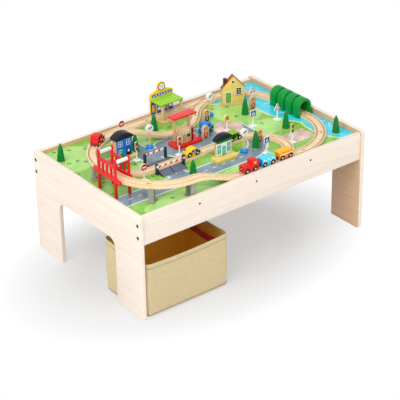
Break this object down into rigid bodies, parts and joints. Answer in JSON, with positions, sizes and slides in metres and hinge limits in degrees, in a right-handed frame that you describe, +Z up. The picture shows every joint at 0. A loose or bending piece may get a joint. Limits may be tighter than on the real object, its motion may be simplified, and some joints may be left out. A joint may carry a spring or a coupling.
{
  "type": "train table",
  "caption": "Low wooden play table with arched ends, a sunk printed board, a grooved wooden train track with ramps, bridge and tunnel, toys and a pull-out cloth bin.",
  "frame": {"origin": "on the floor below the middle of the table's length and width", "axes": "+X along the table to the right as seen from the front rail, +Y from the front rail to the back, +Z up"},
  "size_m": [1, 0.64, 0.526],
  "materials": {
    "panel_wood": "clear-lacquered pale wood",
    "board_print": "printed matt film on fibreboard",
    "batten_wood": "planed softwood",
    "bolt_steel": "dull zinc",
    "bin_cloth": "woven cloth on a stiffener",
    "bin_board": "card covered in cloth",
    "strap_cloth": "woven strap",
    "track_wood": "sanded beech",
    "pier_plastic": "matt",
    "red_paint": "gloss paint",
    "white_paint": "gloss paint",
    "green_paint": "gloss paint",
    "yellow_paint": "gloss paint",
    "lime_paint": "gloss paint",
    "blue_paint": "gloss paint",
    "cyan_paint": "gloss paint",
    "orange_paint": "gloss paint",
    "black_paint": "gloss paint",
    "grey_plate": "matt",
    "wheel_plastic": "satin",
    "toy_wood": "sanded beech"
  },
  "bodies": {
    "table": {"end_panel_left": "panel_wood", "end_panel_right": "panel_wood", "side_rail_front": "panel_wood", "side_rail_back": "panel_wood", "play_board": "board_print", "board_battens": "batten_wood", "panel_bolts": "bolt_steel", "barrel_nuts": "bolt_steel", "rail_screws": "bolt_steel", "track_straights": "track_wood", "track_curves": "track_wood", "track_ramps": "track_wood", "track_switches": "track_wood", "track_piers": "pier_plastic", "bridge_sides": "red_paint", "bridge_bars": "white_paint", "tunnel": "green_paint", "station_platform": "toy_wood", "station_board": "yellow_paint", "station_roof": "lime_paint", "roof_posts": "toy_wood", "fuel_base": "red_paint", "fuel_roof": "red_paint", "fuel_pump": "toy_wood", "yellow_house": "yellow_paint", "blue_house": "blue_paint", "white_house": "white_paint", "house_bases": "yellow_paint", "house_roofs": "black_paint", "crossing_ramps": "grey_plate", "trees": "green_paint", "lamps": "white_paint", "signs": "white_paint", "figures": "toy_wood", "red_car": "red_paint", "yellow_car": "yellow_paint", "blue_truck": "blue_paint", "lime_car": "lime_paint"},
    "bin": {"bin_shell": "bin_cloth", "bin_base": "bin_board", "bin_strap": "strap_cloth"},
    "train": {"engine": "red_paint", "wagon_front": "cyan_paint", "wagon_rear": "orange_paint"},
    "gate_front": {"gate_arm_front": "white_paint"},
    "gate_back": {"gate_arm_back": "white_paint"},
    "engine_axle_a": {"engine_axle_a": "wheel_plastic"},
    "engine_axle_b": {"engine_axle_b": "wheel_plastic"},
    "wagon_front_axle_a": {"wagon_front_axle_a": "wheel_plastic"},
    "wagon_front_axle_b": {"wagon_front_axle_b": "wheel_plastic"},
    "wagon_rear_axle_a": {"wagon_rear_axle_a": "wheel_plastic"},
    "wagon_rear_axle_b": {"wagon_rear_axle_b": "wheel_plastic"},
    "red_car_axle_a": {"red_car_axle_a": "wheel_plastic"},
    "red_car_axle_b": {"red_car_axle_b": "wheel_plastic"},
    "yellow_car_axle_a": {"yellow_car_axle_a": "wheel_plastic"},
    "yellow_car_axle_b": {"yellow_car_axle_b": "wheel_plastic"},
    "blue_truck_axle_a": {"blue_truck_axle_a": "wheel_plastic"},
    "blue_truck_axle_b": {"blue_truck_axle_b": "wheel_plastic"},
    "lime_car_axle_a": {"lime_car_axle_a": "wheel_plastic"},
    "lime_car_axle_b": {"lime_car_axle_b": "wheel_plastic"}
  },
  "joints": [
    {"name": "bin_slide", "type": "slide", "parent": "table", "child": "bin", "axis": [0, -1, 0], "range_m": [0, 0.42]},
    {"name": "train_run", "type": "slide", "parent": "table", "child": "train", "axis": [1, 0, 0], "range_m": [-0.002, 0.05]},
    {"name": "engine_axle_a_spin", "type": "hinge", "parent": "train", "child": "engine_axle_a", "pos_m": [-0.022, -0.277, 0.3973], "axis": [0, 1, 0], "range_deg": [-15, 290]},
    {"name": "engine_axle_b_spin", "type": "hinge", "parent": "train", "child": "engine_axle_b", "pos_m": [0.014, -0.277, 0.3973], "axis": [0, 1, 0], "range_deg": [-15, 290]},
    {"name": "wagon_front_axle_a_spin", "type": "hinge", "parent": "train", "child": "wagon_front_axle_a", "pos_m": [0.057, -0.277, 0.3973], "axis": [0, 1, 0], "range_deg": [-15, 290]},
    {"name": "wagon_front_axle_b_spin", "type": "hinge", "parent": "train", "child": "wagon_front_axle_b", "pos_m": [0.093, -0.277, 0.3973], "axis": [0, 1, 0], "range_deg": [-15, 290]},
    {"name": "wagon_rear_axle_a_spin", "type": "hinge", "parent": "train", "child": "wagon_rear_axle_a", "pos_m": [0.136, -0.277, 0.3973], "axis": [0, 1, 0], "range_deg": [-15, 290]},
    {"name": "wagon_rear_axle_b_spin", "type": "hinge", "parent": "train", "child": "wagon_rear_axle_b", "pos_m": [0.172, -0.277, 0.3973], "axis": [0, 1, 0], "range_deg": [-15, 290]},
    {"name": "red_car_axle_a_spin", "type": "hinge", "parent": "table", "child": "red_car_axle_a", "pos_m": [-0.3613, 0.12799, 0.4533], "axis": [-0.5, 0.866, 0], "continuous": true},
    {"name": "red_car_axle_b_spin", "type": "hinge", "parent": "table", "child": "red_car_axle_b", "pos_m": [-0.33185, 0.14499, 0.4533], "axis": [-0.5, 0.866, 0], "continuous": true},
    {"name": "yellow_car_axle_a_spin", "type": "hinge", "parent": "table", "child": "yellow_car_axle_a", "pos_m": [-0.065, -0.055, 0.3973], "axis": [0, -1, 0], "continuous": true},
    {"name": "yellow_car_axle_b_spin", "type": "hinge", "parent": "table", "child": "yellow_car_axle_b", "pos_m": [-0.099, -0.055, 0.3973], "axis": [0, -1, 0], "continuous": true},
    {"name": "blue_truck_axle_a_spin", "type": "hinge", "parent": "table", "child": "blue_truck_axle_a", "pos_m": [0.06402, 0.06219, 0.3883], "axis": [-0.342, 0.9397, 0], "continuous": true},
    {"name": "blue_truck_axle_b_spin", "type": "hinge", "parent": "table", "child": "blue_truck_axle_b", "pos_m": [0.09598, 0.07381, 0.3883], "axis": [-0.342, 0.9397, 0], "continuous": true},
    {"name": "lime_car_axle_a_spin", "type": "hinge", "parent": "table", "child": "lime_car_axle_a", "pos_m": [0.091, -0.055, 0.3973], "axis": [0, 1, 0], "continuous": true},
    {"name": "lime_car_axle_b_spin", "type": "hinge", "parent": "table", "child": "lime_car_axle_b", "pos_m": [0.125, -0.055, 0.3973], "axis": [0, 1, 0], "continuous": true},
    {"name": "gate_front_lift", "type": "hinge", "parent": "table", "child": "gate_front", "pos_m": [-0.2525, -0.086, 0.41], "axis": [0, -1, 0], "range_deg": [0, 80]},
    {"name": "gate_back_lift", "type": "hinge", "parent": "table", "child": "gate_back", "pos_m": [-0.1505, 0.006, 0.41], "axis": [0, 1, 0], "range_deg": [0, 80]}
  ],
  "couplings": [
    {"joint": "engine_axle_a_spin", "follows": "train_run", "rad_per_m": 100},
    {"joint": "engine_axle_b_spin", "follows": "train_run", "rad_per_m": 100},
    {"joint": "wagon_front_axle_a_spin", "follows": "train_run", "rad_per_m": 100},
    {"joint": "wagon_front_axle_b_spin", "follows": "train_run", "rad_per_m": 100},
    {"joint": "wagon_rear_axle_a_spin", "follows": "train_run", "rad_per_m": 100},
    {"joint": "wagon_rear_axle_b_spin", "follows": "train_run", "rad_per_m": 100}
  ]
}
